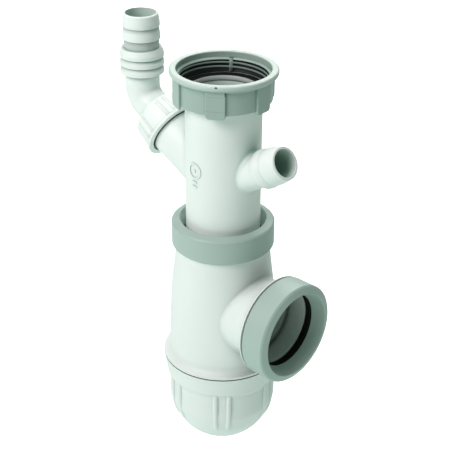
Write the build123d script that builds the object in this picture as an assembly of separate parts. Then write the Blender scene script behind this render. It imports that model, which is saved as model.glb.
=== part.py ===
from build123d import *
from math import cos, radians, sin, tan
import os

# A bottle trap for a sink, in millimetres. The origin is the centre of the inlet washer's
# top face, where the sink's waste seats. +Z runs up the riser and +X along the outlet.

# Clearances between pieces
seat_gap = 0.1
slide_gap = 0.05
turn_gap = 0.3

# Waste coupling nut, with a 1 1/2 inch parallel pipe thread
thread_major_d = 47.8
nut_top = 10.9
nut_bottom = -5.6
nut_wall = 1.3
nut_mouth_step = 0.4
nut_mouth_depth = 3.4
nut_mouth_round = 0.6
nut_rim_proud = 2.85
nut_rim_h = 2.4
nut_rim_ease = 2.2
nut_rim_round = 1.1
nut_foot_chamfer = 0.6
nut_pocket_step = 0.9
nut_lug_count = 6
nut_lug_w = 10.2
nut_lug_proud = 0.9
nut_lug_drop = 1.6
nut_lug_turn = -56.0
nut_lug_round = 2.0
nut_lug_ease = 0.6

# Inlet washer and the riser's flange under it
washer_t = 2.0
washer_bore_step = 0.4
flange_t = 1.6

# Riser, one moulding with its hose branch and its side nozzle
pipe_r = 20.0
pipe_wall = 1.8
riser_end = -191.0
riser_end_ease = 0.8
side_axes_z = -53.0
side_root_round = 1.5
branch_tilt = 28.0
branch_r = 13.9
branch_wall = 2.5
branch_thread_step = 0.7
branch_thread_len = 6.4
branch_len = 49.0
branch_end_ease = 0.5
nozzle_tilt = 30.0
nozzle_len = 49.0
nozzle_r = 9.0
nozzle_wall = 1.65
nozzle_mouth_r = 8.8
nozzle_barb_starts = (34.2, 40.0)
nozzle_barb_radii = (10.4, 9.9)

# Hose barbs, alike on the nozzle and on the elbow's tail
barb_land = 2.0
barb_back = 0.2
mouth_ease = 0.5

# Moulded mark on the riser: a plain ring, a dot and two dashes
mark_proud = 0.4
mark_root = 0.5
mark_z = -40.5
mark_turn = 4.0
mark_ring_r = 4.4
mark_line = 0.9
mark_dash_len = 3.2
mark_dash_drops = (6.2, 8.8)

# Snap collars and lip seals, alike on the bottle's neck and on the outlet
collar_len = 15.2
collar_lip_r = 23.6
collar_lip_ease = 0.5
collar_slope = 1.3
collar_ease = 0.8
collar_skirt_wall = 2.6
funnel_throat_r = 20.6
funnel_depth = 7.5
seal_h = 4.4
seal_lip_h = 1.6
seal_throat_step = 0.3
seal_w = 4.1
neck_wall = 3.6
neck_overlap = 1.0

# Bottle body
collar_top = -73.35
bell_radii = (25.6, 26.2, 27.2, 28.4, 29.05, 29.4, 29.6, 29.6)
bell_heights = (-88.55, -97.0, -105.0, -117.0, -130.0, -138.0, -145.0, -152.5)
bell_wall = 2.0
bottle_flange_z = -157.7
bottle_flange_h = 1.2
bottle_flange_proud = 4.0
bottle_flange_slope = 0.5
spigot_wall = 2.4
spigot_len = 11.0
spigot_step = 1.0

# Outlet socket for a 40 mm pipe
outlet_z = -124.9
outlet_reach = 54.7
outlet_root_x = 17.0
outlet_root_r = 21.6
outlet_root_round = 2.0
outlet_bore_start = 13.0
outlet_flare = 2.4
outlet_flange_ease = 1.0
outlet_flange_r = 27.4
outlet_flange_t = 1.2
outlet_groove = 0.8
outlet_groove_r = 26.1
socket_clearance = 0.4
socket_depth = 12.2

# Cleaning cap
cap_gap = 0.6
cap_band_h = 12.0
cap_band_wall = 1.8
cap_band_ease = 0.8
cap_shoulder = 2.0
cap_cup_step = 0.4
cap_dome_z = -181.5
cap_dome_depth = 33.0
cap_dome_steps = 6
cap_wall = 2.0
cap_pair_count = 6
cap_pair_turn = -46.5
cap_ridge_spread = 7.2
cap_ridge_r = 1.7
cap_ridge_heights = (-169.4, -181.5, -190.0, -197.0)
cap_ridge_prouds = (1.1, 1.1, 0.8, -0.2)
cap_gasket_t = 2.0

# Union nut
union_overlap = 8.5
union_lip_t = 1.6
union_lip_proud = 0.7
union_lip_ease = 0.3
union_len = 14.3
union_wall = 2.7
union_bore_gap = 0.4
union_mouth_step = 0.7
union_mouth_depth = 1.6
union_end_wall = 1.6
union_end_proud = 1.9
union_end_ease = 0.8
union_rib_count = 6
union_rib_turn = -26.0
union_rib_r = 1.7
union_rib_proud = 0.5
union_groove_spread = 8.5
union_groove_r = 1.3
union_groove_depth = 0.6
union_groove_start = 0.8
union_gasket_t = 2.0

# Elbow with its hose tail
elbow_flange_t = 2.0
elbow_hub_r = 11.7
elbow_hub_len = 3.6
elbow_hub_ramp = 1.2
elbow_r = 9.4
elbow_wall = 1.9
elbow_bend_r = 11.0
tail_reach = 60.9
tail_top = 26.0
tail_mouth_r = 9.4
tail_mouth_wall = 1.0
tail_neck_r = 9.5
tail_barb_bottoms = (19.1, 12.2)
tail_barb_radii = (10.1, 10.3)
tail_ring_bottoms = (2.4, -2.1, -6.7)
tail_ring_top = 7.2
tail_ring_r = 12.0
tail_ring_undercut = 1.2

# Sizes worked out from the ones above
thread_r = thread_major_d / 2
nut_body_r = thread_r + nut_wall
nut_rim_r = nut_body_r + nut_rim_proud
nut_rim_bottom = nut_top - nut_rim_h
nut_mouth_r = thread_r + nut_mouth_step
nut_mouth_end = nut_top - nut_mouth_depth
nut_hole_r = pipe_r + turn_gap
flange_pocket_r = thread_r - nut_pocket_step
washer_r = flange_pocket_r - 2 * turn_gap
flange_top = -washer_t
flange_bottom = flange_top - flange_t
riser_bore_r = pipe_r - pipe_wall
branch_bore_r = branch_r - branch_wall
branch_thread_r = branch_r - branch_thread_step
branch_shoulder = branch_len - branch_thread_len
nozzle_bore_r = nozzle_r - nozzle_wall
neck_depth = funnel_depth + seal_h + 2 * seat_gap
seal_throat_r = funnel_throat_r + seal_throat_step
neck_r = seal_throat_r + seal_w
collar_r = neck_r + seat_gap + collar_skirt_wall
neck_bore_r = neck_r - neck_wall
socket_r = pipe_r + socket_clearance
outlet_bore_end = outlet_reach - neck_depth
spigot_bore_r = bell_radii[-1] - bell_wall - spigot_step
spigot_r = spigot_bore_r + spigot_wall
spigot_end = bottle_flange_z - spigot_len
bottle_flange_r = spigot_r + bottle_flange_proud
cap_top = bottle_flange_z - cap_gap
cap_band_bottom = cap_top - cap_band_h
cap_bore_r = spigot_r + 2 * turn_gap
cap_band_end_r = cap_bore_r + cap_band_wall
cap_cup_r = cap_bore_r + cap_cup_step
cap_cup_bore_r = cap_cup_r - cap_wall
cap_ledge_z = spigot_end - cap_gasket_t - 2 * seat_gap
union_bore_r = branch_r + union_bore_gap
union_mouth_r = union_bore_r + union_mouth_step
union_body_r = union_bore_r + union_wall
union_lip_r = union_body_r + union_lip_proud
union_lip_s = branch_len - union_overlap
union_lip_end = union_lip_s + union_lip_t
union_chamber_r = branch_thread_r + turn_gap
union_end_r = union_chamber_r + union_end_proud
union_end_s = union_lip_s + union_len
union_shelf_s = union_end_s - union_end_wall
gasket_s = branch_len + seat_gap
elbow_face_s = gasket_s + union_gasket_t + seat_gap
elbow_hub_s = elbow_face_s + elbow_flange_t
elbow_flange_r = union_chamber_r - turn_gap
elbow_bore_r = elbow_r - elbow_wall
elbow_turn = 90.0 - branch_tilt
corner_s = tail_reach / cos(radians(branch_tilt))
corner_z = side_axes_z + tail_reach * tan(radians(branch_tilt))
bend_leg = elbow_bend_r * tan(radians(elbow_turn / 2))
tail_mouth_bore_r = tail_mouth_r - tail_mouth_wall


def turned(*points):
    """Solid of revolution about Z from (radius, height) points."""
    return revolve(make_face(Plane.XZ * Polyline(*points, close=True)), Axis.Z)


def disc(radius, low, high):
    """Cylinder about Z between two heights."""
    return Pos(0, 0, low) * extrude(Circle(radius), high - low)


def ring(outer, inner, low, high):
    """Plain ring about Z between two heights."""
    return disc(outer, low, high) - disc(inner, low, high)


def around(shape, count, first=0.0, spread=(0.0,)):
    """Copies of a shape about Z, one for each angle of spread at each of count places."""
    return [Rot(0, 0, first + 360 / count * i + s) * shape for i in range(count) for s in spread]


def along_branch():
    """Frame on the riser's axis whose Z runs out along the hose branch and X upwards."""
    c, s = cos(radians(branch_tilt)), sin(radians(branch_tilt))
    return Plane(origin=(0, 0, side_axes_z), x_dir=(s, 0, c), z_dir=(-c, 0, s)).location


def along_nozzle():
    """Frame on the riser's axis whose Z runs out along the side nozzle."""
    c, s = cos(radians(nozzle_tilt)), sin(radians(nozzle_tilt))
    return Plane(origin=(0, 0, side_axes_z), x_dir=(-s, 0, c), z_dir=(c, 0, s)).location


def along_outlet(distance=0.0):
    """Frame on the outlet's axis whose Z runs out along the outlet, at a distance from 0."""
    return Plane(origin=(distance, 0, outlet_z), x_dir=(0, 0, 1), z_dir=(1, 0, 0)).location


def rounded_roots(trunk, limbs, root_round, near_x):
    """Fuses limbs to an upright trunk and rounds the curves where they meet, past near_x."""
    whole = trunk
    for limb in limbs:
        whole += limb
    curves = [e for e in whole.edges().filter_by(GeomType.BSPLINE)
              if e.bounding_box().size.Y > root_round and e.center().X > near_x]
    return fillet(curves, root_round)


def top_rings(solid):
    """Innermost and outermost circular edges at a solid's top."""
    rings = solid.edges().filter_by(GeomType.CIRCLE).group_by(Axis.Z)[-1].sort_by(SortBy.RADIUS)
    return rings[0], rings[-1]


def nut_lug():
    """One flat-faced grip lug of the coupling nut, on its +X side."""
    inner, outer = nut_body_r - nut_wall / 2, nut_body_r + nut_lug_proud
    low = nut_bottom - nut_lug_drop
    lug = Box(outer - inner, nut_lug_w, nut_rim_bottom - low)
    lug = fillet(lug.edges().filter_by(Axis.X).group_by(Axis.Z)[0], nut_lug_round)
    lug = fillet(lug.faces().sort_by(Axis.X)[-1].edges(), nut_lug_ease)
    return Pos((outer + inner) / 2, 0, (nut_rim_bottom + low) / 2) * lug


def coupling_nut():
    """Grey nut with a rolled rim, six lugs and a shoulder under the riser's flange."""
    blank = turned(
        (0, nut_bottom), (nut_body_r - nut_foot_chamfer, nut_bottom),
        (nut_body_r, nut_bottom + nut_foot_chamfer), (nut_body_r, nut_rim_bottom - nut_rim_ease),
        (nut_rim_r, nut_rim_bottom), (nut_rim_r, nut_top), (0, nut_top),
    )
    rims = [e for e in blank.edges().filter_by(GeomType.CIRCLE) if e.radius > nut_rim_r - slide_gap]
    blank = fillet(rims, nut_rim_round)
    for lug in around(nut_lug(), nut_lug_count, nut_lug_turn):
        blank += lug
    blank -= turned(
        (0, nut_bottom), (nut_hole_r, nut_bottom), (nut_hole_r, flange_bottom - seat_gap),
        (flange_pocket_r, flange_bottom - seat_gap), (flange_pocket_r, 0), (thread_r, 0),
        (thread_r, nut_mouth_end - nut_mouth_step), (nut_mouth_r, nut_mouth_end),
        (nut_mouth_r, nut_top), (0, nut_top),
    )
    return fillet(top_rings(blank)[0], nut_mouth_round)


def inlet_washer():
    """Flat rubber washer that the sink's waste presses on."""
    return ring(washer_r, riser_bore_r + washer_bore_step, -washer_t, 0)


def moulded_mark():
    """Raised plain ring with a dot and two dashes, curved with the riser's wall."""
    flat = Circle(mark_ring_r) - Circle(mark_ring_r - mark_line) + Circle(mark_line)
    for drop in mark_dash_drops:
        flat += Pos(0, -drop) * Rectangle(mark_dash_len, mark_line)
    bars = extrude(Plane.XZ * flat, pipe_r + mark_proud)
    skin = ring(pipe_r + mark_proud, pipe_r - mark_root, mark_z - mark_dash_drops[-1] - mark_line,
                mark_z + mark_ring_r + mark_line)
    return Rot(0, 0, -mark_turn) * ((Pos(0, 0, mark_z) * bars) & skin)


def branch_blank():
    """Outside of the hose branch, with a thinner end for the union nut's thread."""
    return turned(
        (0, 0), (branch_r, 0), (branch_r, branch_shoulder), (branch_thread_r, branch_shoulder),
        (branch_thread_r, branch_len - branch_end_ease),
        (branch_thread_r - branch_end_ease, branch_len), (0, branch_len),
    )


def nozzle_blank():
    """Outside of the side nozzle, with two barbs that each have a short straight land."""
    (first, second), (first_r, second_r) = nozzle_barb_starts, nozzle_barb_radii
    return turned(
        (0, 0), (nozzle_r, 0), (nozzle_r, first - barb_back),
        (first_r, first), (first_r, first + barb_land),
        (nozzle_r, second - barb_back), (second_r, second), (second_r, second + barb_land),
        (nozzle_mouth_r, nozzle_len - mouth_ease), (nozzle_mouth_r - mouth_ease, nozzle_len),
        (0, nozzle_len),
    )


def riser_tube():
    """Riser with its top flange, hose branch, side nozzle and moulded mark, all one piece."""
    tube = disc(pipe_r, riser_end, flange_top)
    tube = chamfer(tube.edges().group_by(Axis.Z)[0], riser_end_ease)
    limbs = (along_branch() * branch_blank(), along_nozzle() * nozzle_blank())
    tube = rounded_roots(tube, limbs, side_root_round, -pipe_r)
    tube += disc(washer_r, flange_bottom, flange_top)
    tube -= disc(riser_bore_r, riser_end, flange_top)
    tube -= along_branch() * disc(branch_bore_r, 0, branch_len)
    tube -= along_nozzle() * disc(nozzle_bore_r, 0, nozzle_len)
    return tube + moulded_mark()


def snap_collar():
    """Smooth grey collar, lip at height 0 and skirt below, with a funnel down to its seal."""
    skirt_r = collar_r - collar_skirt_wall
    return turned(
        (collar_lip_r, 0), (collar_r - collar_ease, -collar_slope),
        (collar_r, -collar_slope - collar_ease), (collar_r, -collar_len + collar_ease),
        (collar_r - collar_ease, -collar_len), (skirt_r, -collar_len), (skirt_r, -funnel_depth),
        (funnel_throat_r, -funnel_depth), (collar_lip_r - collar_lip_ease, -collar_lip_ease),
    )


def lip_seal(lip_r):
    """Black ring under a collar's funnel whose middle lip closes on the pipe."""
    top = -funnel_depth - seat_gap
    bottom = top - seal_h
    middle = (top + bottom) / 2
    return turned(
        (neck_r, top), (neck_r, bottom), (seal_throat_r, bottom),
        (lip_r, middle - seal_lip_h / 2), (lip_r, middle + seal_lip_h / 2),
        (seal_throat_r, top),
    )


def bell_outside():
    """Outside of the bottle body as one smooth turned shape, closed on its axis."""
    top, bottom = bell_heights[0], bell_heights[-1]
    flange_top_z = bottle_flange_z + bottle_flange_h
    side = Spline(*zip(bell_radii, bell_heights))
    flare = Spline((bell_radii[-1], bottom), (bottle_flange_r, flange_top_z),
                   tangents=((0, -1), (1, -bottle_flange_slope)))
    foot = Polyline((bottle_flange_r, flange_top_z), (bottle_flange_r, bottle_flange_z),
                    (0, bottle_flange_z), (0, top), (bell_radii[0], top))
    return revolve(make_face(Plane.XZ * (side + flare + foot)), Axis.Z)


def bell_inside():
    """Hollow of the bottle body, an even wall inside its outside."""
    inner = [r - bell_wall for r in bell_radii]
    side = Spline(*zip(inner[1:], bell_heights[1:]))
    rest = Polyline((inner[-1], bell_heights[-1]), (spigot_bore_r, bottle_flange_z),
                    (spigot_bore_r, spigot_end), (0, spigot_end), (0, collar_top),
                    (neck_bore_r, collar_top), (neck_bore_r, bell_heights[0] - neck_overlap),
                    (inner[1], bell_heights[1]))
    return revolve(make_face(Plane.XZ * (side + rest)), Axis.Z)


def outlet_root():
    """Outside of the outlet between the bell and its flange."""
    flange_x = outlet_reach - collar_len - outlet_groove
    return turned((0, outlet_root_x), (outlet_root_r, outlet_root_x),
                  (outlet_root_r, flange_x), (0, flange_x))


def outlet_end():
    """Outside of the outlet's end: a flare, a flange ring, a groove and the collar's neck."""
    flange_x = outlet_reach - collar_len - outlet_groove
    back_x = flange_x - outlet_flange_t
    return turned(
        (0, back_x - outlet_flare), (outlet_root_r, back_x - outlet_flare),
        (outlet_flange_r - outlet_flange_ease, back_x),
        (outlet_flange_r, back_x + outlet_flange_t / 2), (outlet_flange_r, flange_x),
        (outlet_groove_r, flange_x), (outlet_groove_r, flange_x + outlet_groove),
        (neck_r, flange_x + outlet_groove), (neck_r, outlet_bore_end), (0, outlet_bore_end),
    )


def bottle_body():
    """White bell-shaped body with its neck, its outlet and the spigot for the cap."""
    body = rounded_roots(bell_outside(), [along_outlet() * outlet_root()], outlet_root_round, 0)
    body += along_outlet() * outlet_end()
    body += disc(neck_r, bell_heights[0] - neck_overlap, collar_top - neck_depth)
    body += disc(spigot_r, spigot_end, bottle_flange_z)
    body -= bell_inside()
    body -= along_outlet() * disc(riser_bore_r, outlet_bore_start, outlet_bore_end)
    return body - along_outlet() * disc(socket_r, outlet_bore_end - socket_depth, outlet_bore_end)


def bowl(radius, depth, *upper):
    """Turned solid with half an ellipse as its bottom, closed on its axis by upper points."""
    angles = [radians(90 / cap_dome_steps * i) for i in range(cap_dome_steps + 1)]
    arc = Spline(*[(radius * sin(a), cap_dome_z - depth * cos(a)) for a in angles],
                 tangents=((1, 0), (0, 1)))
    edges = arc + Polyline(arc @ 1, *upper, arc @ 0)
    return revolve(make_face(Plane.XZ * edges), Axis.Z)


def cup_radius(height):
    """Outer radius of the cap's cup at a height."""
    drop = max(0.0, cap_dome_z - height)
    return cap_cup_r * (1 - (drop / cap_dome_depth) ** 2) ** 0.5


def cap_ridge():
    """One rounded grip ridge on the cup's +X side, rooted in its wall and sinking into it."""
    points = [(cup_radius(z) + proud - cap_ridge_r, 0, z)
              for z, proud in zip(cap_ridge_heights, cap_ridge_prouds)]
    path = Spline(*points)
    ridge = sweep(Plane(origin=path @ 0, z_dir=path % 0) * Circle(cap_ridge_r), path=path)
    core_r = cap_cup_r - cap_wall / 2
    return ridge - bowl(core_r, cap_dome_depth - cap_wall / 2, (core_r, cap_top), (0, cap_top))


def cleaning_cap():
    """Round-bottomed screw cap with a plain band and paired grip ridges."""
    shell = bowl(
        cap_cup_r, cap_dome_depth, (cap_cup_r, cap_band_bottom - cap_shoulder),
        (cap_band_end_r - cap_band_ease, cap_band_bottom),
        (cap_band_end_r, cap_band_bottom + cap_band_ease), (bottle_flange_r, cap_top), (0, cap_top),
    )
    spread = (-cap_ridge_spread, cap_ridge_spread)
    for ridge in around(cap_ridge(), cap_pair_count, cap_pair_turn, spread):
        shell += ridge
    return shell - bowl(
        cap_cup_bore_r, cap_dome_depth - cap_wall, (cap_cup_bore_r, cap_ledge_z),
        (cap_bore_r, cap_ledge_z), (cap_bore_r, cap_top), (0, cap_top),
    )


def cap_gasket():
    """Flat ring between the bottle's spigot and the cap's ledge."""
    return ring(cap_bore_r - turn_gap, spigot_bore_r, spigot_end - seat_gap - cap_gasket_t,
                spigot_end - seat_gap)


def union_bar(radius, lift, start_s, end_s):
    """Round bar along the union nut's taper on its +X side, lifted off its surface."""
    slope = (union_end_r - union_body_r) / (union_end_s - union_lip_end)
    start, end = [Vector(union_body_r + lift + slope * (s - union_lip_end), 0, s)
                  for s in (start_s, end_s)]
    return extrude(Plane(origin=start, z_dir=end - start) * Circle(radius), (end - start).length)


def union_nut():
    """White nut with ribs between grooves, which draws the hose elbow onto the branch."""
    hub_hole_r = elbow_hub_r + turn_gap
    nut = turned(
        (0, union_lip_s), (union_lip_r - union_lip_ease, union_lip_s),
        (union_lip_r, union_lip_s + union_lip_ease), (union_lip_r, union_lip_end),
        (union_body_r, union_lip_end), (union_end_r, union_end_s - union_end_ease),
        (union_end_r - union_end_ease, union_end_s), (0, union_end_s),
    )
    rib = union_bar(union_rib_r, union_rib_proud - union_rib_r, union_lip_end,
                    union_end_s - union_end_ease)
    for piece in around(rib, union_rib_count, union_rib_turn):
        nut += piece
    groove = union_bar(union_groove_r, union_groove_r - union_groove_depth,
                       union_lip_end + union_groove_start, union_end_s + union_end_ease)
    spread = (-union_groove_spread, union_groove_spread)
    for piece in around(groove, union_rib_count, union_rib_turn, spread):
        nut -= piece
    nut -= turned(
        (0, union_lip_s), (union_mouth_r, union_lip_s),
        (union_mouth_r, union_lip_s + union_mouth_depth),
        (union_bore_r, union_lip_s + union_mouth_depth + union_mouth_step),
        (union_bore_r, branch_len), (union_chamber_r, branch_len),
        (union_chamber_r, union_shelf_s), (hub_hole_r, union_shelf_s), (hub_hole_r, union_end_s),
        (0, union_end_s),
    )
    return along_branch() * nut


def union_gasket():
    """Flat ring between the branch's end and the elbow's flange."""
    return along_branch() * ring(elbow_flange_r, branch_bore_r, gasket_s,
                                 gasket_s + union_gasket_t)


def tail_blank():
    """Outside of the hose tail about its own axis, from the bend up to its mouth."""
    points = [(0, corner_z + bend_leg), (elbow_r, corner_z + bend_leg),
              (elbow_r, tail_ring_bottoms[-1])]
    tops = (tail_ring_top,) + tail_ring_bottoms[:-1]
    for bottom, top in zip(reversed(tail_ring_bottoms), reversed(tops)):
        points += [(tail_ring_r, bottom), (tail_ring_r, bottom + barb_land),
                   (tail_ring_r - tail_ring_undercut, top)]
    points += [(tail_neck_r, tail_ring_top), (tail_neck_r, tail_barb_bottoms[-1])]
    tops = (tail_top - mouth_ease,) + tail_barb_bottoms[:-1]
    for bottom, top, radius in zip(reversed(tail_barb_bottoms), reversed(tops),
                                   reversed(tail_barb_radii)):
        points += [(radius, bottom), (radius, bottom + barb_land), (tail_mouth_r, top)]
    points += [(tail_mouth_r - mouth_ease, tail_top), (0, tail_top)]
    return turned(*points)


def hose_elbow():
    """Elbow with the flange that the union nut holds, a 62 degree bend and a barbed tail."""
    bend_s = corner_s - bend_leg
    bend_z = corner_z + bend_leg
    leg = turned(
        (0, elbow_face_s), (elbow_flange_r, elbow_face_s), (elbow_flange_r, elbow_hub_s),
        (elbow_hub_r, elbow_hub_s), (elbow_hub_r, elbow_hub_s + elbow_hub_len),
        (elbow_r, elbow_hub_s + elbow_hub_len + elbow_hub_ramp), (elbow_r, bend_s), (0, bend_s),
    )
    bend_axis = Axis((elbow_bend_r - tail_reach, 0, bend_z), (0, -1, 0))
    start = Pos(-tail_reach, 0, bend_z)
    outside = along_branch() * leg + Pos(-tail_reach, 0, 0) * tail_blank()
    outside += revolve(start * Circle(elbow_r), bend_axis, elbow_turn)
    bore = along_branch() * disc(elbow_bore_r, elbow_face_s, bend_s)
    bore += revolve(start * Circle(elbow_bore_r), bend_axis, elbow_turn)
    bore += Pos(-tail_reach, 0, 0) * turned(
        (0, bend_z), (elbow_bore_r, bend_z), (elbow_bore_r, tail_ring_top),
        (tail_mouth_bore_r, tail_barb_bottoms[0]), (tail_mouth_bore_r, tail_top), (0, tail_top),
    )
    return outside - bore


def build():
    """All the pieces by node name, each in its place."""
    collar_at = Pos(0, 0, collar_top)
    return {
        "coupling_nut": coupling_nut(),
        "inlet_washer": inlet_washer(),
        "riser_tube": riser_tube(),
        "bottle_collar": collar_at * snap_collar(),
        "riser_lip_seal": collar_at * lip_seal(pipe_r + slide_gap),
        "bottle_body": bottle_body(),
        "outlet_collar": along_outlet(outlet_reach) * snap_collar(),
        "outlet_lip_seal": along_outlet(outlet_reach) * lip_seal(pipe_r + socket_clearance / 2),
        "cleaning_cap": cleaning_cap(),
        "cap_gasket": cap_gasket(),
        "union_nut": union_nut(),
        "union_gasket": union_gasket(),
        "hose_elbow": hose_elbow(),
    }


os.makedirs("parts", exist_ok=True)
for node, shape in build().items():
    export_step(shape, f"parts/{node}.step")
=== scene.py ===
"""Looks of a sink's bottle trap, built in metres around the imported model's fixed frame."""
from math import pi, radians

import bmesh
import bpy
from mathutils import Matrix, Quaternion, Vector


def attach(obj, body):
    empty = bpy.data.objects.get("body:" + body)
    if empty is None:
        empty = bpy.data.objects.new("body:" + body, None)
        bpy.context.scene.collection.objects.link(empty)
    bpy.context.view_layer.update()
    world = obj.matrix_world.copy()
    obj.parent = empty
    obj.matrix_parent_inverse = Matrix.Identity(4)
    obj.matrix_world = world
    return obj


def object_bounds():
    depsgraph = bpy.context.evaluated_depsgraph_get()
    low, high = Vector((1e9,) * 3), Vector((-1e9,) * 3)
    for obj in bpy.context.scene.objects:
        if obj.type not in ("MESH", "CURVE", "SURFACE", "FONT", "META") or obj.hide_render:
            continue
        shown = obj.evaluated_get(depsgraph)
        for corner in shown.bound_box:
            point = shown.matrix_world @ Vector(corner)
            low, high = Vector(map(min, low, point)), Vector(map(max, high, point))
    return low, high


bl_info = {
    "name": "Sink Bottle Trap",
    "version": (1, 0, 0),
    "blender": (4, 5, 0),
    "location": "View3D > Sidebar > Sink Trap",
    "description": "Finishes a bottle trap for a sink: plastics, rubber, thread and stage",
    "category": "Object",
}

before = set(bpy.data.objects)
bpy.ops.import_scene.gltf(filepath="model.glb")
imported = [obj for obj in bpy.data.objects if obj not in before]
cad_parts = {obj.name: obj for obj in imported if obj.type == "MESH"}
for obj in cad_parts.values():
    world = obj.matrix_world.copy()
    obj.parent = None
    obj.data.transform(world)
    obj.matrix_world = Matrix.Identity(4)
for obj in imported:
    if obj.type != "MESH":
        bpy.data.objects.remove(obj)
cad_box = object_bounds()
MM = 0.001

# Camera at the photo's view of the trap: what it looks at and how far away in mm, the way towards
# it, its roll in degrees, and its lens and film in mm. Right and front are the picture's.
VIEW_TARGET = (1.155, 1.085, -79.58)
VIEW_DISTANCE = 624.56
TOWARDS_CAMERA = (0.6041, -0.6433, 0.4704)
CAMERA_ROLL = 0.416
LENS, FILM_WIDTH = 92.14, 36.0
PICTURE_RIGHT = (0.729, 0.684, 0.0)
PICTURE_FRONT = (0.684, -0.729, 0.0)

# Soft square lamps: name, place from the view's target (right, front, up) in m, side in m,
# power in W and linear colour
LAMPS = (
    ("Key lamp", (-0.74, 0.60, 0.85), 0.6, 10.6, (1.0, 0.94, 0.96)),
    ("Top lamp", (0.05, -0.15, 1.2), 0.8, 6.5, (1.0, 0.97, 0.98)),
    ("Back lamp", (0.1, -1.0, 0.75), 0.9, 7.0, (1.0, 1.0, 1.0)),
)
# Linear colours of the light from all round and from the floor, which leave shade a grey-green
FILL_COLOUR = (0.70, 1.0, 0.86, 1.0)
BOUNCE_COLOUR = (0.85, 1.0, 0.935, 1.0)
PLAIN_WHITE = (1.0, 1.0, 1.0, 1.0)
# The floor's half width in m, its glow for the camera, and its light on the trap, which falls
# from one factor to the other between two places left and right of the trap's axis in m
FLOOR_REACH = 3.0
FLOOR_GLOW = 0.75
BOUNCE_LEFT, BOUNCE_RIGHT = 1.14, 0.74
BOUNCE_SPREAD = 0.3
FLOOR_WHITE = "F4F6F5"

# Colours of painted shade that hollows, gaps, steps and the thread's roots sink to, from the
# darkest to the palest; the darkest is also the rubber's own black
RUBBER_AND_SHADE_BLACK = "0B0E0E"
ROOT_PAINTED_SHADE = "101715"
DEEP_SHADE = "1B2926"
HOLLOW_SHADE = "5A7A70"
TUBE_SHADE = "76A492"
TAIL_SHADE = "7FAE9C"

# Finish of the mouldings: roughness, how far an edge is softened and how deep light goes, in mm
WHITE_FINISH = (0.46, 0.12, 0.6)
COLLAR_FINISH = (0.46, 0.2, 0.5)
NUT_FINISH = (0.40, 0.2, 0.5)
LIP_FINISH = (0.5, 0.1, 0.5)
POLYPROPYLENE_IOR, RUBBER_IOR = 1.49, 1.52

# Sizes of patterns in mm. A mould's skin and the dust on rubber have grains near 0.1 mm, and are
# drawn as coarse as they need to show. Flow marks of the melt lie about two centimetres apart.
SKIN_GRAIN, RUBBER_GRAIN, FLOW_MARKS = 0.9, 0.5, 22.0
SKIN_RELIEF, RUBBER_RELIEF = 0.03, 0.04
RUBBER_EDGE = 0.25
# What flow marks do to the roughness, down and up, and what they leave of the colour; how much
# lighter dust makes the rubber
FLOW_SHEEN = (-0.04, 0.05)
FLOW_TONE = 0.96
RUBBER_DUST = 1.6

# Painted shade in a piece's own bores and sharp inner corners: reaches in mm over which each
# darkens, the openness at which each is darkest and plain, and what a corner leaves of the colour
BORE_REACH, CORNER_REACH = 45.0, 4.0
BORE_OPEN, CORNER_OPEN = (0.08, 0.8), (0.35, 0.95)
CORNER_DARKEST = 0.4
# Depths behind the thread's crest in mm between which it turns to the roots' painted shade
ROOT_SHADE_DEPTHS = (0.12, 0.4)
# Distance in mm under which two corners of a new piece are one
WELD = 0.001

# Painted shade on a moulding: two corners of a box in mm, how far its dark reaches in mm, what is
# left of the colour, and a turn in degrees about Y through the middle of the hose branch
NUT_SHADE_MARKS = (
    ((16.0, -23.1, 10.3), (16.6, -22.6, 10.9), 0.22, 0.08, 0),  # painted shade of a small pit on the rim, in front
    ((-15.9, 21.7, 10.2), (-14.9, 22.5, 10.9), 0.22, 0.08, 0),  # painted shade of a small pit on the rim, behind
    ((18.1, -18.9, 5.6), (18.9, -17.7, 10.0), 0.1, 0.25, 0),  # painted shadow on the front lug's side
    ((9.0, -25.0, 4.75), (19.5, -18.0, 4.75), 0.07, 0.72, 0),  # painted shade of a fine upper step across that lug
    ((9.0, -25.0, -2.9), (19.5, -18.0, -2.9), 0.07, 0.72, 0),  # painted shade of a fine lower step across it
)
# Painted shade on the branch, in the gap under the union nut's lip
BRANCH_GAP = (((-42.6, -15.0, -68.0), (-40.4, 15.0, -38.0), 0.12, 0.06, -28),)
# Painted shade on the cap's top face, in the gap under the body's flange
CAP_GAP = (((-33.0, -33.0, -158.3), (33.0, 33.0, -158.3), 0.05, 0.08, 0),)
# Painted shade at the thread's foot, in the gap by the washer
THREAD_FOOT = ((-24.5, -24.5, 0.0), (24.5, 24.5, 0.25), 0.1, 0.06, 0)
BRANCH_CENTRE = (0.0, 0.0, -0.053)

# Painted highlight on the nut's rolled rim: heights and radii in mm between which it turns to a
# lighter colour
RIM_PAINTED_HIGHLIGHT = ((7.6, 9.6), (24.3, 24.9), "BECDC5")

# Painted shade under the hose tail's overhanging edges: heights in mm and what is left of the
# colour
TAIL_BANDS = ((-9.2, 1.0), (-6.8, 0.6), (-6.65, 1.0), (-4.0, 1.0), (-2.2, 0.66), (-2.05, 1.0),
              (0.4, 1.0), (2.3, 0.66), (2.45, 1.0), (7.1, 1.0), (7.3, 0.78), (10.0, 0.66),
              (12.1, 0.5), (12.25, 1.0), (16.4, 1.0), (19.0, 0.58), (19.15, 1.0))

# Sockets of a colour Mix node, whose names it shares with its other kinds of data
MIX_A, MIX_B, MIX_RESULT = 6, 7, 2


def linear(hex_colour):
    """sRGB hex such as "E9F2ED" as a linear RGBA tuple."""
    channels = [int(hex_colour[i:i + 2], 16) / 255 for i in (0, 2, 4)]
    return tuple(c / 12.92 if c <= 0.04045 else ((c + 0.055) / 1.055) ** 2.4
                 for c in channels) + (1.0,)


def dimmed(colour, factor):
    """A colour made darker, or lighter, by a factor."""
    return tuple(c * factor for c in colour[:3]) + (1.0,)


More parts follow.
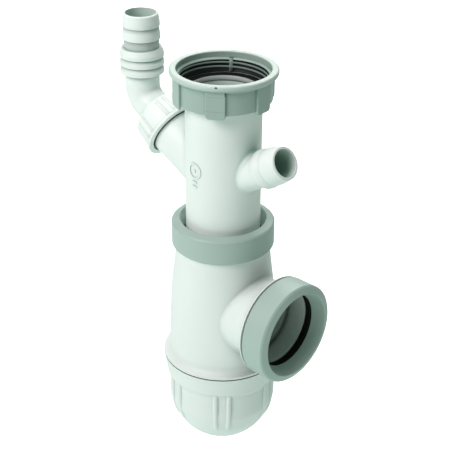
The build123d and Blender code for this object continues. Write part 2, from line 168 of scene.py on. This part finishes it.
class TrapColours(bpy.types.PropertyGroup):
    """Colours of the moulded plastics and the rubber."""
    white: bpy.props.FloatVectorProperty(
        name="White", description="Polypropylene of the riser, body, cap, elbow and union nut",
        subtype="COLOR", size=4, min=0.0, max=1.0, default=linear("EEF3F0"))
    nut_grey: bpy.props.FloatVectorProperty(
        name="Nut grey", description="Polypropylene of the coupling nut",
        subtype="COLOR", size=4, min=0.0, max=1.0, default=linear("A3B6AE"))
    collar_grey: bpy.props.FloatVectorProperty(
        name="Collar grey", description="Polypropylene of the snap collars",
        subtype="COLOR", size=4, min=0.0, max=1.0, default=linear("AEC1BA"))
    rubber: bpy.props.FloatVectorProperty(
        name="Rubber", description="Washer, lip seals and gaskets",
        subtype="COLOR", size=4, min=0.0, max=1.0, default=linear(RUBBER_AND_SHADE_BLACK))


class TrapSizes(bpy.types.PropertyGroup):
    """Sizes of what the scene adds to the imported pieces."""
    thread_pitch: bpy.props.FloatProperty(
        name="Thread pitch", description="Pitch of the coupling nut's 1 1/2 inch pipe thread",
        unit="LENGTH", min=0.0005, default=2.309 * MM)
    thread_crest: bpy.props.FloatProperty(
        name="Thread crest radius", description="Inner radius of the coupling nut's thread",
        unit="LENGTH", min=0.001, default=22.8 * MM)


class TrapStage(bpy.types.PropertyGroup):
    """Light and floor around the trap."""
    floor_drop: bpy.props.FloatProperty(
        name="Floor drop", description="Height of the hanging trap above the floor",
        unit="LENGTH", min=0.0, default=0.05)
    lamp_level: bpy.props.FloatProperty(
        name="Lamp level", description="Factor on the power of all the lamps",
        min=0.0, default=1.0)
    fill: bpy.props.FloatProperty(
        name="Fill", description="Strength of the even light all round",
        min=0.0, default=0.18)
    bounce: bpy.props.FloatProperty(
        name="Bounce", description="Strength of the light that the floor sends back up",
        min=0.0, default=1.02)


def add_node(tree, kind, links=(), values=(), **settings):
    """Adds a shader node with its properties and input values by name, then the values and the
    links of inputs that are given by name or number."""
    node = tree.nodes.new(kind)
    for name, value in settings.items():
        if name in node.bl_rna.properties:
            setattr(node, name, value)
        else:
            node.inputs[name.replace("_", " ")].default_value = value
    for socket, value in dict(values).items():
        node.inputs[socket].default_value = value
    for socket, output in dict(links).items():
        tree.links.new(output, node.inputs[socket])
    return node


def new_material(name):
    """An empty node material and its tree."""
    material = bpy.data.materials.new(name)
    material.use_nodes = True
    material.node_tree.nodes.clear()
    return material, material.node_tree


def shaded(tree, colour, factor, shade=DEEP_SHADE):
    """A colour output that sinks into a painted dark shade where a factor output is below 1."""
    return add_node(tree, "ShaderNodeMix", {"Factor": factor, MIX_B: colour},
                    {MIX_A: linear(shade)}, data_type="RGBA").outputs[MIX_RESULT]


def hollow_shade(tree, darkest):
    """Factor for painted shade that falls towards darkest inside the piece's own bores and sharp
    corners.
    """
    wide, tight = [add_node(tree, "ShaderNodeAmbientOcclusion", Distance=reach * MM, samples=8,
                            only_local=True).outputs["AO"]
                   for reach in (BORE_REACH, CORNER_REACH)]
    bores = add_node(tree, "ShaderNodeMapRange", {"Value": wide}, From_Min=BORE_OPEN[0],
                     From_Max=BORE_OPEN[1], To_Min=darkest).outputs["Result"]
    corners = add_node(tree, "ShaderNodeMapRange", {"Value": tight}, From_Min=CORNER_OPEN[0],
                       From_Max=CORNER_OPEN[1], To_Min=CORNER_DARKEST).outputs["Result"]
    return add_node(tree, "ShaderNodeMath", {0: bores, 1: corners},
                    operation="MULTIPLY").outputs["Value"]


def band_shade(tree, place, bands):
    """Factor for painted shade by height, from (height in mm, factor) pairs in rising order."""
    low, high = bands[0][0], bands[-1][0]
    height = add_node(tree, "ShaderNodeSeparateXYZ", {"Vector": place}).outputs["Z"]
    share = add_node(tree, "ShaderNodeMapRange", {"Value": height}, From_Min=low * MM,
                     From_Max=high * MM).outputs["Result"]
    ramp = add_node(tree, "ShaderNodeValToRGB", {"Fac": share})
    stops = ramp.color_ramp.elements
    stops.remove(stops[1])
    for index, (millimetres, factor) in enumerate(bands):
        at = (millimetres - low) / (high - low)
        stop = stops[0] if index == 0 else stops.new(at)
        stop.position, stop.color = at, (factor, factor, factor, 1.0)
    return ramp.outputs["Color"]


def mark_shade(tree, place, low, high, reach, darkest, turn):
    """Factor for painted shade that is darkest in and near a box given in mm, and 1 elsewhere."""
    if turn:
        place = add_node(tree, "ShaderNodeVectorRotate", {"Vector": place},
                         rotation_type="Y_AXIS", Center=BRANCH_CENTRE,
                         Angle=radians(turn)).outputs["Vector"]
    nearest = place
    for operation, corner in (("MAXIMUM", low), ("MINIMUM", high)):
        nearest = add_node(tree, "ShaderNodeVectorMath", {0: nearest},
                           {1: [c * MM for c in corner]},
                           operation=operation).outputs["Vector"]
    away = add_node(tree, "ShaderNodeVectorMath", {0: place, 1: nearest},
                    operation="DISTANCE").outputs["Value"]
    return add_node(tree, "ShaderNodeMapRange", {"Value": away}, From_Min=reach * MM,
                    From_Max=2 * reach * MM, To_Min=darkest).outputs["Result"]


def axis_distance(tree, place):
    """Distance from the riser's axis."""
    level = add_node(tree, "ShaderNodeVectorMath", {0: place}, {1: (1, 1, 0)},
                     operation="MULTIPLY").outputs["Vector"]
    return add_node(tree, "ShaderNodeVectorMath", {0: level},
                    operation="LENGTH").outputs["Value"]


def painted_highlight_band(tree, place, tone, heights, radii, highlight_colour):
    """A colour output that turns to a lighter colour, a painted highlight, between two heights
    and between two radii in mm.
    """
    height = add_node(tree, "ShaderNodeSeparateXYZ", {"Vector": place}).outputs["Z"]
    rise = add_node(tree, "ShaderNodeMapRange", {"Value": height}, From_Min=heights[0] * MM,
                    From_Max=heights[1] * MM).outputs["Result"]
    rim = add_node(tree, "ShaderNodeMapRange", {"Value": axis_distance(tree, place)},
                   From_Min=radii[0] * MM, From_Max=radii[1] * MM).outputs["Result"]
    both = add_node(tree, "ShaderNodeMath", {0: rise, 1: rim},
                    operation="MULTIPLY").outputs["Value"]
    return add_node(tree, "ShaderNodeMix", {"Factor": both, MIX_A: tone},
                    {MIX_B: linear(highlight_colour)}, data_type="RGBA").outputs[MIX_RESULT]


def moulded_plastic(name, colour, finish, darkest=0.12, hollow_shade_colour=HOLLOW_SHADE, marks=(),
                    rim_highlight=None, bands=()):
    """Injection-moulded polypropylene: satin and a little milky, with the mould's fine skin and
    faint clouds in its colour. Painted shade sinks its own hollows and corners to darkest of the
    colour and into the hollow shade colour; painted shade bands and marks and a painted highlight
    can be laid on."""
    roughness, soft_edge, light_depth = finish
    material, tree = new_material(name)
    place = add_node(tree, "ShaderNodeTexCoord").outputs["Object"]
    skin = add_node(tree, "ShaderNodeTexNoise", {"Vector": place},
                    Scale=1 / (SKIN_GRAIN * MM), Detail=3.0, Roughness=0.6).outputs["Fac"]
    cloud = add_node(tree, "ShaderNodeTexNoise", {"Vector": place},
                     Scale=1 / (FLOW_MARKS * MM), Detail=2.0).outputs["Fac"]
    sheen = add_node(tree, "ShaderNodeMapRange", {"Value": cloud},
                     To_Min=roughness + FLOW_SHEEN[0],
                     To_Max=roughness + FLOW_SHEEN[1]).outputs["Result"]
    ramp = add_node(tree, "ShaderNodeValToRGB", {"Fac": cloud})
    ramp.color_ramp.elements[0].color = dimmed(colour, FLOW_TONE)
    ramp.color_ramp.elements[1].color = tuple(colour)
    tone = ramp.outputs["Color"]
    # Painted highlight on the nut's rim
    if rim_highlight:
        tone = painted_highlight_band(tree, place, tone, *rim_highlight)
    # Painted shade in the piece's own bores and corners, then in bands under edges and on marked
    # places
    tone = shaded(tree, tone, hollow_shade(tree, darkest), hollow_shade_colour)
    if bands:
        tone = shaded(tree, tone, band_shade(tree, place, bands))
    for mark in marks:
        tone = shaded(tree, tone, mark_shade(tree, place, *mark))
    edge = add_node(tree, "ShaderNodeBevel", Radius=soft_edge * MM, samples=6)
    bump = add_node(tree, "ShaderNodeBump", {"Height": skin, "Normal": edge.outputs["Normal"]},
                    Strength=0.12, Distance=SKIN_RELIEF * MM)
    shader = add_node(tree, "ShaderNodeBsdfPrincipled",
                      {"Base Color": tone, "Roughness": sheen,
                       "Normal": bump.outputs["Normal"]},
                      IOR=POLYPROPYLENE_IOR, Subsurface_Weight=0.06,
                      Subsurface_Scale=light_depth * MM, Subsurface_Radius=(1.0, 0.9, 0.8))
    add_node(tree, "ShaderNodeOutputMaterial", {"Surface": shader.outputs["BSDF"]})
    return material


def thread_plastic(name, colour, crest):
    """The nut's polypropylene inside its thread: satin crests over deep roots in painted shade,
    and painted shade at its foot.
    """
    material, tree = new_material(name)
    place = add_node(tree, "ShaderNodeTexCoord").outputs["Object"]
    depth = add_node(tree, "ShaderNodeMapRange", {"Value": axis_distance(tree, place)},
                     From_Min=(crest + ROOT_SHADE_DEPTHS[0]) * MM,
                     From_Max=(crest + ROOT_SHADE_DEPTHS[1]) * MM).outputs["Result"]
    ramp = add_node(tree, "ShaderNodeValToRGB", {"Fac": depth})
    ramp.color_ramp.elements[0].color = tuple(colour)
    ramp.color_ramp.elements[1].color = linear(ROOT_PAINTED_SHADE)
    tone = shaded(tree, ramp.outputs["Color"], mark_shade(tree, place, *THREAD_FOOT),
                  RUBBER_AND_SHADE_BLACK)
    shader = add_node(tree, "ShaderNodeBsdfPrincipled", {"Base Color": tone},
                      IOR=POLYPROPYLENE_IOR, Roughness=0.5, Specular_IOR_Level=0.3)
    add_node(tree, "ShaderNodeOutputMaterial", {"Surface": shader.outputs["BSDF"]})
    return material


def moulded_rubber(name, colour):
    """Moulded EPDM rubber: matt, nearly black, with a dusty fine grain."""
    material, tree = new_material(name)
    place = add_node(tree, "ShaderNodeTexCoord").outputs["Object"]
    grain = add_node(tree, "ShaderNodeTexNoise", {"Vector": place},
                     Scale=1 / (RUBBER_GRAIN * MM), Detail=4.0).outputs["Fac"]
    ramp = add_node(tree, "ShaderNodeValToRGB", {"Fac": grain})
    ramp.color_ramp.elements[0].color = tuple(colour)
    ramp.color_ramp.elements[1].color = dimmed(colour, RUBBER_DUST)
    edge = add_node(tree, "ShaderNodeBevel", Radius=RUBBER_EDGE * MM, samples=4)
    bump = add_node(tree, "ShaderNodeBump",
                    {"Height": grain, "Normal": edge.outputs["Normal"]},
                    Strength=0.3, Distance=RUBBER_RELIEF * MM)
    shader = add_node(tree, "ShaderNodeBsdfPrincipled",
                      {"Base Color": ramp.outputs["Color"], "Normal": bump.outputs["Normal"]},
                      IOR=RUBBER_IOR, Roughness=0.7, Specular_IOR_Level=0.15)
    add_node(tree, "ShaderNodeOutputMaterial", {"Surface": shader.outputs["BSDF"]})
    return material


def dress(node, material):
    """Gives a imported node's object one material."""
    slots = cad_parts[node].data.materials
    slots.clear()
    slots.append(material)


class SINKTRAP_OT_finish_plastics(bpy.types.Operator):
    """Give the white and grey moulded pieces their polypropylene"""
    bl_idname = "sinktrap.finish_plastics"
    bl_label = "Finish moulded plastics"

    def execute(self, context):
        colours = context.scene.trap_colours
        # One satin white: only how dark the painted shade in its hollows goes and the painted
        # shade in gaps and under edges differ
        white_pieces = (
            ("union_nut", "White moulded polypropylene", {}),
            ("riser_tube", "White riser polypropylene",
             {"darkest": 0.25, "hollow_shade_colour": TUBE_SHADE, "marks": BRANCH_GAP}),
            ("bottle_body", "White body polypropylene",
             {"darkest": 0.05, "hollow_shade_colour": DEEP_SHADE}),
            ("cleaning_cap", "White cap polypropylene", {"marks": CAP_GAP}),
            ("hose_elbow", "White elbow polypropylene",
             {"darkest": 0.3, "hollow_shade_colour": TAIL_SHADE, "bands": TAIL_BANDS}),
        )
        for node, name, own in white_pieces:
            dress(node, moulded_plastic(name, colours.white, WHITE_FINISH, **own))
        # The grey nut: painted shade in its hollows, pits and steps and beside a lug, and a
        # painted highlight on its rim
        dress("coupling_nut",
              moulded_plastic("Grey nut polypropylene", colours.nut_grey, NUT_FINISH,
                              darkest=0.5, marks=NUT_SHADE_MARKS, rim_highlight=RIM_PAINTED_HIGHLIGHT))
        collar_grey = moulded_plastic("Grey collar polypropylene", colours.collar_grey,
                                      COLLAR_FINISH)
        for node in ("bottle_collar", "outlet_collar"):
            dress(node, collar_grey)
        return {"FINISHED"}


class SINKTRAP_OT_finish_rubber(bpy.types.Operator):
    """Give the washer, the lip seals and the gaskets their rubber"""
    bl_idname = "sinktrap.finish_rubber"
    bl_label = "Finish rubber"

    def execute(self, context):
        rubber = moulded_rubber("Black EPDM rubber", context.scene.trap_colours.rubber)
        for node in ("inlet_washer", "riser_lip_seal", "outlet_lip_seal", "cap_gasket",
                     "union_gasket"):
            dress(node, rubber)
        return {"FINISHED"}


def add_piece(name, bm, material, body):
    """Makes a mesh object of bm with one material, its normals set outwards, and attaches it to
    its named body.
    """
    bmesh.ops.remove_doubles(bm, verts=bm.verts, dist=WELD * MM)
    bmesh.ops.recalc_face_normals(bm, faces=bm.faces)
    mesh = bpy.data.meshes.new(name)
    bm.to_mesh(mesh)
    bm.free()
    mesh.materials.append(material)
    mesh.shade_smooth()
    piece = bpy.data.objects.new(name, mesh)
    bpy.context.scene.collection.objects.link(piece)
    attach(piece, body)


def section(bm, points, angle=0.0):
    """A flat face of (radius, height) points in mm, standing at an angle about Z."""
    turn = Matrix.Rotation(angle, 4, "Z")
    return bm.faces.new([bm.verts.new(turn @ Vector((r * MM, 0, z * MM))) for r, z in points])


def sweep_about_z(bm, face, steps, turns=1.0, rise=0.0):
    """Spins a section about Z, rising by a length on the way; a level turn is closed."""
    level = rise == 0.0
    bmesh.ops.spin(bm, geom=[*face.edges, *face.verts] if level else [face],
                   cent=(0, 0, 0), axis=(0, 0, 1), dvec=(0, 0, rise / steps),
                   angle=2 * pi * turns, steps=steps, use_merge=level,
                   use_normal_flip=False, use_duplicate=False)
    if level:
        bmesh.ops.delete(bm, geom=[face], context="FACES_ONLY")


class SINKTRAP_OT_cut_thread(bpy.types.Operator):
    """Add the coupling nut's internal thread with the strip across it and its lead-in, and the
    thin lip inside the washer"""
    bl_idname = "sinktrap.cut_thread"
    bl_label = "Cut the nut's thread"

    # Sections as (radius, height) corners in mm
    lead_in = ((24.4, 7.98), (22.95, 7.05), (22.95, 6.75), (24.05, 6.3), (24.4, 7.2))
    roots = ((22.95, 0.02), (24.1, 0.02), (24.1, 6.5), (23.8, 6.5), (23.8, 0.2),
             (22.95, 0.2))
    seat_lip = ((18.19, -3.2), (18.3, -2.05), (18.55, -2.05), (18.55, -0.35),
                (18.45, -0.25), (18.12, -0.25), (18.12, -2.3))
    # One turn of the thread as (depth behind the crest, height in the turn) in mm
    ridge = ((1.25, 0.55), (0.1, 0.7), (0.0, 0.78), (0.0, 1.52), (0.1, 1.6), (1.25, 1.75))
    ridge_turns = 2
    first_crest_height = 1.89
    start_angle = radians(-47.0)  # on the side that the camera doesn't see
    # The strip across the turns: its size in mm, and where its middle is
    strip_size = (1.2, 2.0, 7.7)
    strip_depth, strip_height = 0.65, 3.95
    strip_angle = radians(124.0)
    # Facets of the thread's turn and of the two rings, and how much painted shade darkens the
    # parts that lie in the nut's dark
    turn_steps, ring_steps = 96, 128
    thread_tone, lip_tone = 0.68, 0.45

    def execute(self, context):
        sizes = context.scene.trap_sizes
        colours = context.scene.trap_colours
        pitch, crest = sizes.thread_pitch / MM, sizes.thread_crest / MM
        # The thread: the nut's grey darkened as painted shade, with roots in painted shade
        material = thread_plastic("Grey nut polypropylene, thread in painted shade",
                                  dimmed(colours.nut_grey, self.thread_tone), crest)
        low = self.first_crest_height - pitch / 2
        ridge = [(crest + depth, low + height) for depth, height in self.ridge]
        bm = bmesh.new()
        sweep_about_z(bm, section(bm, ridge, self.start_angle),
                      self.ridge_turns * self.turn_steps, self.ridge_turns,
                      self.ridge_turns * pitch * MM)
        sweep_about_z(bm, section(bm, self.roots), self.turn_steps)
        strip = bmesh.ops.create_cube(bm, size=1.0)["verts"]
        bmesh.ops.scale(bm, vec=Vector(self.strip_size) * MM, verts=strip)
        bmesh.ops.translate(bm, vec=((crest + self.strip_depth) * MM, 0,
                                     self.strip_height * MM), verts=strip)
        bmesh.ops.rotate(bm, cent=(0, 0, 0), verts=strip,
                         matrix=Matrix.Rotation(self.strip_angle, 3, "Z"))
        add_piece("nut_thread", bm, material, "inlet_nut")

        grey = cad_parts["coupling_nut"].data.materials[0]
        # The inner lip: the white darkened as painted shade
        white = moulded_plastic("White polypropylene, inner lip in painted shade",
                                dimmed(colours.white, self.lip_tone), LIP_FINISH,
                                hollow_shade_colour=TUBE_SHADE)
        for name, points, finish, body, slot in (
                ("nut_lead_in", self.lead_in, grey, "inlet_nut", "grey_plastic"),
                ("washer_seat_lip", self.seat_lip, white, "riser", "white_plastic")):
            bm = bmesh.new()
            sweep_about_z(bm, section(bm, points), self.ring_steps)
            add_piece(name, bm, finish, body)
        return {"FINISHED"}


def aim(obj, place, target, roll=0.0):
    """Stands a lamp or camera at place, looking at target, turned about its own axis."""
    turn = (target - place).to_track_quat("-Z", "Y") @ Quaternion((0, 0, 1), roll)
    obj.matrix_world = Matrix.Translation(place) @ turn.to_matrix().to_4x4()


class SINKTRAP_OT_stage(bpy.types.Operator):
    """Add the camera, the lamps, the white surroundings and the floor"""
    bl_idname = "sinktrap.stage"
    bl_label = "Set the stage"

    def execute(self, context):
        scene, stage = context.scene, context.scene.trap_stage
        scene.view_settings.view_transform = "Standard"
        target = Vector(VIEW_TARGET) * MM
        self.photo_camera(scene, target)
        self.soft_lamps(scene, target, stage.lamp_level)
        self.white_surroundings(scene, stage.fill)
        self.white_floor(scene, stage.floor_drop, stage.bounce)
        return {"FINISHED"}

    def photo_camera(self, scene, target):
        """Camera at the photo's viewing angle."""
        data = bpy.data.cameras.new("Photo camera")
        data.lens, data.sensor_width = LENS, FILM_WIDTH
        camera = bpy.data.objects.new("Photo camera", data)
        scene.collection.objects.link(camera)
        scene.camera = camera
        towards = Vector(TOWARDS_CAMERA).normalized()
        aim(camera, target + towards * VIEW_DISTANCE * MM, target, radians(CAMERA_ROLL))

    def soft_lamps(self, scene, target, level):
        """Square area lamps that look at the trap's middle."""
        right = Vector(PICTURE_RIGHT).normalized()
        front = Vector(PICTURE_FRONT).normalized()
        up = Vector((0, 0, 1))
        for name, (r, f, u), side, power, colour in LAMPS:
            data = bpy.data.lights.new(name, "AREA")
            data.size, data.energy, data.color = side, power * level, colour
            lamp = bpy.data.objects.new(name, data)
            scene.collection.objects.link(lamp)
            aim(lamp, target + r * right + f * front + u * up, target)

    def white_surroundings(self, scene, fill):
        """World: even light on the trap, and plain white where the camera sees it."""
        scene.world = bpy.data.worlds.new("White surroundings")
        scene.world.use_nodes = True
        tree = scene.world.node_tree
        tree.nodes.clear()
        path = add_node(tree, "ShaderNodeLightPath")
        light = add_node(tree, "ShaderNodeBackground", Color=FILL_COLOUR, Strength=fill)
        plain = add_node(tree, "ShaderNodeBackground", Color=PLAIN_WHITE, Strength=1.0)
        seen = add_node(tree, "ShaderNodeMixShader",
                        {"Fac": path.outputs["Is Camera Ray"],
                         1: light.outputs["Background"], 2: plain.outputs["Background"]})
        add_node(tree, "ShaderNodeOutputWorld", {"Surface": seen.outputs["Shader"]})

    def white_floor(self, scene, drop, bounce):
        """Matt white floor well under the trap, which hangs from its inlet."""
        mesh = bpy.data.meshes.new("Floor")
        bm = bmesh.new()
        bmesh.ops.create_grid(bm, x_segments=1, y_segments=1, size=FLOOR_REACH)
        bmesh.ops.translate(bm, verts=bm.verts, vec=(0, 0, cad_box[0][2] - drop))
        bm.to_mesh(mesh)
        bm.free()
        mesh.materials.append(self.floor_paint(bounce))
        floor = bpy.data.objects.new("Floor", mesh)
        scene.collection.objects.link(floor)

    def floor_paint(self, bounce):
        """Matt white paint that the camera sees as white with the trap's shadow on it, and that
        lights the trap from below, more on the picture's left."""
        material, tree = new_material("White studio floor")
        path = add_node(tree, "ShaderNodeLightPath")
        matt = add_node(tree, "ShaderNodeBsdfDiffuse", Color=linear(FLOOR_WHITE))
        glow = add_node(tree, "ShaderNodeEmission", Color=PLAIN_WHITE, Strength=FLOOR_GLOW)
        lit = add_node(tree, "ShaderNodeAddShader",
                       {0: matt.outputs["BSDF"], 1: glow.outputs["Emission"]})
        place = add_node(tree, "ShaderNodeTexCoord").outputs["Object"]
        side = add_node(tree, "ShaderNodeVectorMath", {0: place}, {1: PICTURE_RIGHT},
                        operation="DOT_PRODUCT").outputs["Value"]
        level = add_node(tree, "ShaderNodeMapRange", {"Value": side},
                         From_Min=-BOUNCE_SPREAD, From_Max=BOUNCE_SPREAD,
                         To_Min=BOUNCE_LEFT * bounce,
                         To_Max=BOUNCE_RIGHT * bounce).outputs["Result"]
        back = add_node(tree, "ShaderNodeEmission", {"Strength": level}, Color=BOUNCE_COLOUR)
        seen = add_node(tree, "ShaderNodeMixShader",
                        {"Fac": path.outputs["Is Camera Ray"],
                         1: back.outputs["Emission"], 2: lit.outputs["Shader"]})
        add_node(tree, "ShaderNodeOutputMaterial", {"Surface": seen.outputs["Shader"]})
        return material


class SINKTRAP_PT_panel(bpy.types.Panel):
    """Lists the trap's settings and its operators"""
    bl_idname = "SINKTRAP_PT_panel"
    bl_label = "Sink Trap"
    bl_space_type = "VIEW_3D"
    bl_region_type = "UI"
    bl_category = "Sink Trap"

    def draw(self, context):
        for name, group in GROUPS.items():
            for setting in group.__annotations__:
                self.layout.prop(getattr(context.scene, name), setting)
        for operator in OPERATORS:
            self.layout.operator(operator.bl_idname)


OPERATORS = (SINKTRAP_OT_finish_plastics, SINKTRAP_OT_finish_rubber, SINKTRAP_OT_cut_thread,
             SINKTRAP_OT_stage)
GROUPS = {"trap_colours": TrapColours, "trap_sizes": TrapSizes, "trap_stage": TrapStage}


def register():
    """Registers the settings, the operators and the panel."""
    for name, group in GROUPS.items():
        bpy.utils.register_class(group)
        setattr(bpy.types.Scene, name, bpy.props.PointerProperty(type=group))
    for cls in OPERATORS + (SINKTRAP_PT_panel,):
        bpy.utils.register_class(cls)


def unregister():
    """Takes back what register added."""
    for cls in reversed(OPERATORS + (SINKTRAP_PT_panel,)):
        bpy.utils.unregister_class(cls)
    for name, group in GROUPS.items():
        delattr(bpy.types.Scene, name)
        bpy.utils.unregister_class(group)


def main():
    """Registers the add-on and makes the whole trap."""
    register()
    bpy.ops.sinktrap.finish_plastics()
    bpy.ops.sinktrap.finish_rubber()
    bpy.ops.sinktrap.cut_thread()
    bpy.ops.sinktrap.stage()


if __name__ == "__main__":
    main()
